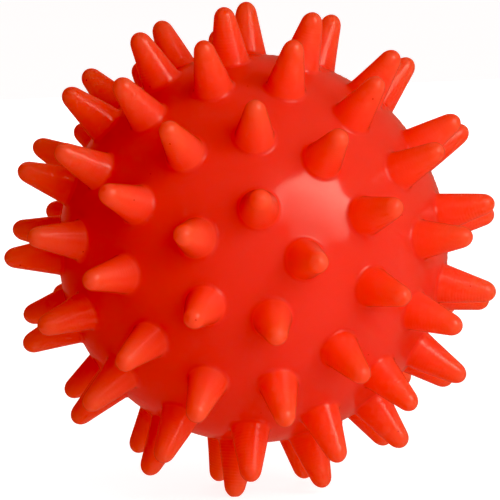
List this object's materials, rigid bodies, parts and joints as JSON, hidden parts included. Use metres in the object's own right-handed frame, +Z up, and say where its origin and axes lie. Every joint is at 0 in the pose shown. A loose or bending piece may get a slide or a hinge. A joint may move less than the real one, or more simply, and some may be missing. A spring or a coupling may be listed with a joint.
{
  "type": "massage ball",
  "caption": "Hollow soft vinyl massage ball covered in rounded spikes, with an air valve and a pull-out stopper.",
  "frame": {"origin": "the centre of the ball, which is the centre of its box to within 0.2 mm", "axes": "+Y is the pole axis, in which the two mould halves part, and points to the valve; +Z is up as the ball stands on its three lowest spikes; +X is to the right as seen from the front, which is the side away from the valve"},
  "size_m": [0.088, 0.0862, 0.088],
  "materials": {
    "red_vinyl": "gloss",
    "valve_vinyl": "satin",
    "stopper_plastic": "satin"
  },
  "bodies": {
    "ball": {"ball_shell": "red_vinyl", "valve_body": "valve_vinyl"},
    "stopper": {"valve_plug": "stopper_plastic"}
  },
  "joints": [
    {"name": "stopper_pull", "type": "slide", "parent": "ball", "child": "stopper", "axis": [0, 1, 0], "range_m": [0, 0.012]}
  ]
}
